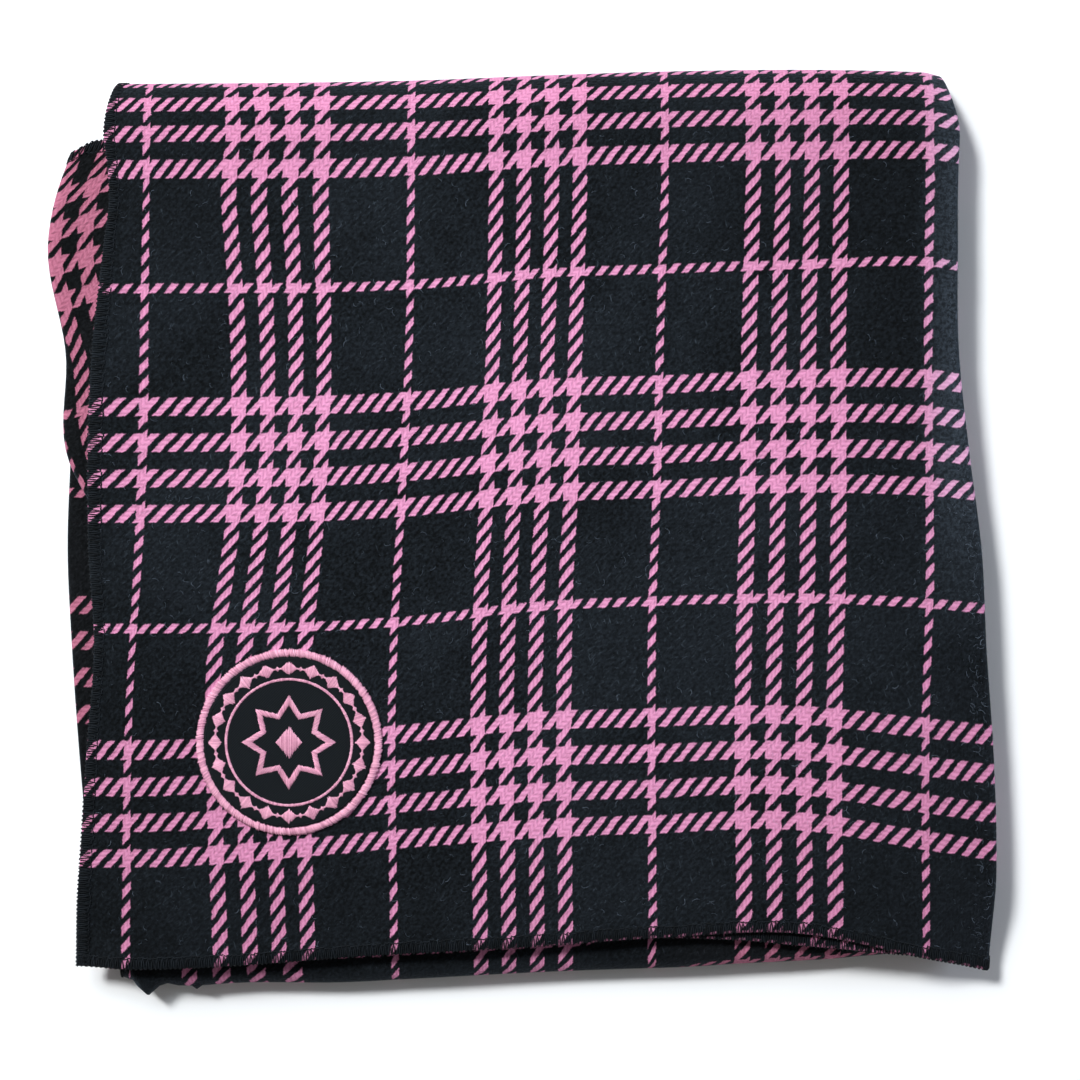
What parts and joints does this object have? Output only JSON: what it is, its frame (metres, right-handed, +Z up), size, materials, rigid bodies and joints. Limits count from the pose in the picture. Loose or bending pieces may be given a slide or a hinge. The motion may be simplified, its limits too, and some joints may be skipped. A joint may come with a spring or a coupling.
{
  "type": "folded horse sheet",
  "caption": "Large overlocked sheet of thick brushed twill in a pink and black plaid, folded in thirds both ways into a flat square, with an embroidered round patch.",
  "frame": {"origin": "centre of the folded stack's underside, in the middle of the whole model's box", "axes": "+Z up through the stack's thickness, +Y towards the long top fold, +X towards the wide right-hand fold"},
  "size_m": [0.432, 0.421, 0.0271],
  "materials": {
    "sheet_fabric": "matte",
    "overlock_thread": "matte",
    "patch_twill": "matte",
    "patch_thread": "satin"
  },
  "bodies": {
    "folded_base": {"sheet_centre_leaf": "sheet_fabric", "sheet_inner_leaf": "sheet_fabric", "sheet_bottom_fold": "sheet_fabric", "sheet_top_fold": "sheet_fabric", "hem_overlock_inner": "overlock_thread", "side_overlock_centre": "overlock_thread", "side_overlock_inner": "overlock_thread", "side_overlock_bottom_fold": "overlock_thread", "side_overlock_top_fold": "overlock_thread", "tucked_overlock_centre": "overlock_thread", "tucked_overlock_inner": "overlock_thread", "tucked_overlock_bottom_fold": "overlock_thread", "tucked_overlock_top_fold": "overlock_thread"},
    "front_leaf": {"sheet_front_leaf": "sheet_fabric", "hem_overlock_front": "overlock_thread", "side_overlock_front": "overlock_thread", "tucked_overlock_front": "overlock_thread", "patch_ground": "patch_twill", "patch_border": "patch_thread", "patch_sewing_line": "overlock_thread", "patch_ring": "patch_thread", "patch_diamond_chain": "patch_thread", "patch_star": "patch_thread", "patch_centre_diamond": "patch_thread"}
  },
  "joints": [
    {"name": "front_leaf_turn_back", "type": "hinge", "parent": "folded_base", "child": "front_leaf", "pos_m": [0, 0.19805, 0.01355], "axis": [-1, 0, 0], "range_deg": [0, 180], "deforming": ["sheet_top_fold", "side_overlock_top_fold", "tucked_overlock_top_fold"]}
  ]
}
